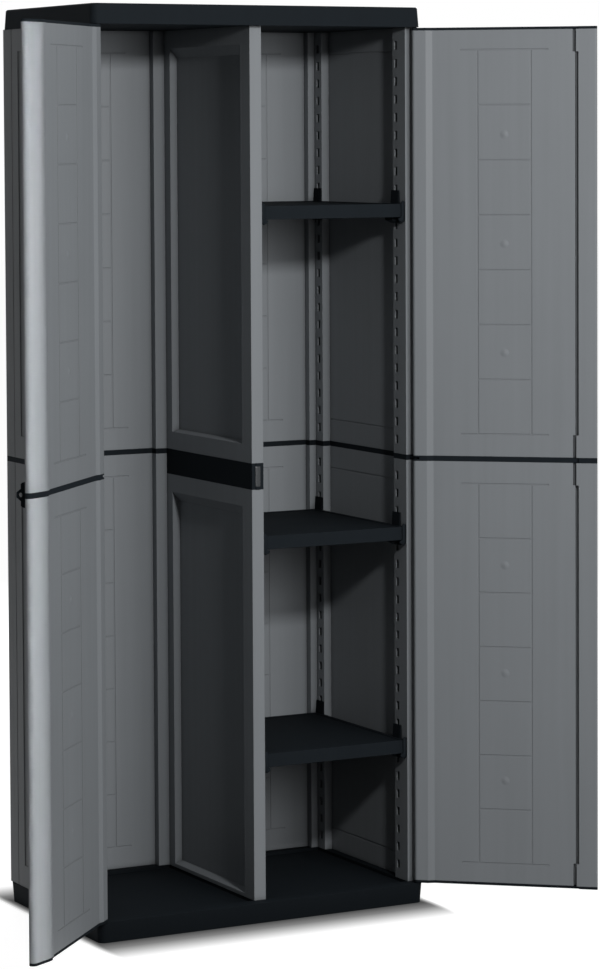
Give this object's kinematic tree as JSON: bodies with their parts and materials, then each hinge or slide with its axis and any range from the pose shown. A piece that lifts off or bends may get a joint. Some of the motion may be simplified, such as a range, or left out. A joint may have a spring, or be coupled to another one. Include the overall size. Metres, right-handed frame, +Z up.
{
  "type": "tall storage cabinet",
  "caption": "Tall two-door resin storage cabinet with a centre divider, an open tall compartment on the left and shelves on the right, doors open.",
  "frame": {"origin": "middle of the footprint, on the ground", "axes": "+Z up, +X to the right seen from the front, the doors' side is -Y"},
  "size_m": [1.1776, 0.6416, 1.7],
  "materials": {
    "panel_grey": "fine moulded grain, matt",
    "black_resin": "fine moulded grain, satin"
  },
  "bodies": {
    "cabinet": {"base": "black_resin", "top_cap": "black_resin", "side_left_lower": "panel_grey", "back_left_lower": "panel_grey", "side_left_upper": "panel_grey", "back_left_upper": "panel_grey", "side_left_joint": "black_resin", "back_left_joint": "black_resin", "side_right_lower": "panel_grey", "back_right_lower": "panel_grey", "side_right_upper": "panel_grey", "back_right_upper": "panel_grey", "side_right_joint": "black_resin", "back_right_joint": "black_resin", "divider_lower": "panel_grey", "divider_upper": "panel_grey", "divider_joint": "black_resin", "shelf_bottom": "black_resin", "brackets_bottom": "black_resin", "shelf_middle": "black_resin", "brackets_middle": "black_resin", "shelf_top": "black_resin", "brackets_top": "black_resin"},
    "left_door": {"door_left_lower": "panel_grey", "door_left_stile_lower": "panel_grey", "door_left_upper": "panel_grey", "door_left_stile_upper": "panel_grey", "door_left_joint": "black_resin", "door_left_top_strip": "black_resin", "door_left_bottom_strip": "black_resin", "door_left_grip": "black_resin"},
    "right_door": {"door_right_lower": "panel_grey", "door_right_stile_lower": "panel_grey", "door_right_upper": "panel_grey", "door_right_stile_upper": "panel_grey", "door_right_joint": "black_resin", "door_right_top_strip": "black_resin", "door_right_bottom_strip": "black_resin", "door_right_grip": "black_resin"}
  },
  "joints": [
    {"name": "left_door_hinge", "type": "hinge", "parent": "cabinet", "child": "left_door", "pos_m": [-0.332, -0.1935, 0.85], "axis": [0, 0, -1], "range_deg": [-134, 46]},
    {"name": "right_door_hinge", "type": "hinge", "parent": "cabinet", "child": "right_door", "pos_m": [0.332, -0.1935, 0.85], "axis": [0, 0, 1], "range_deg": [-140, 40]}
  ]
}
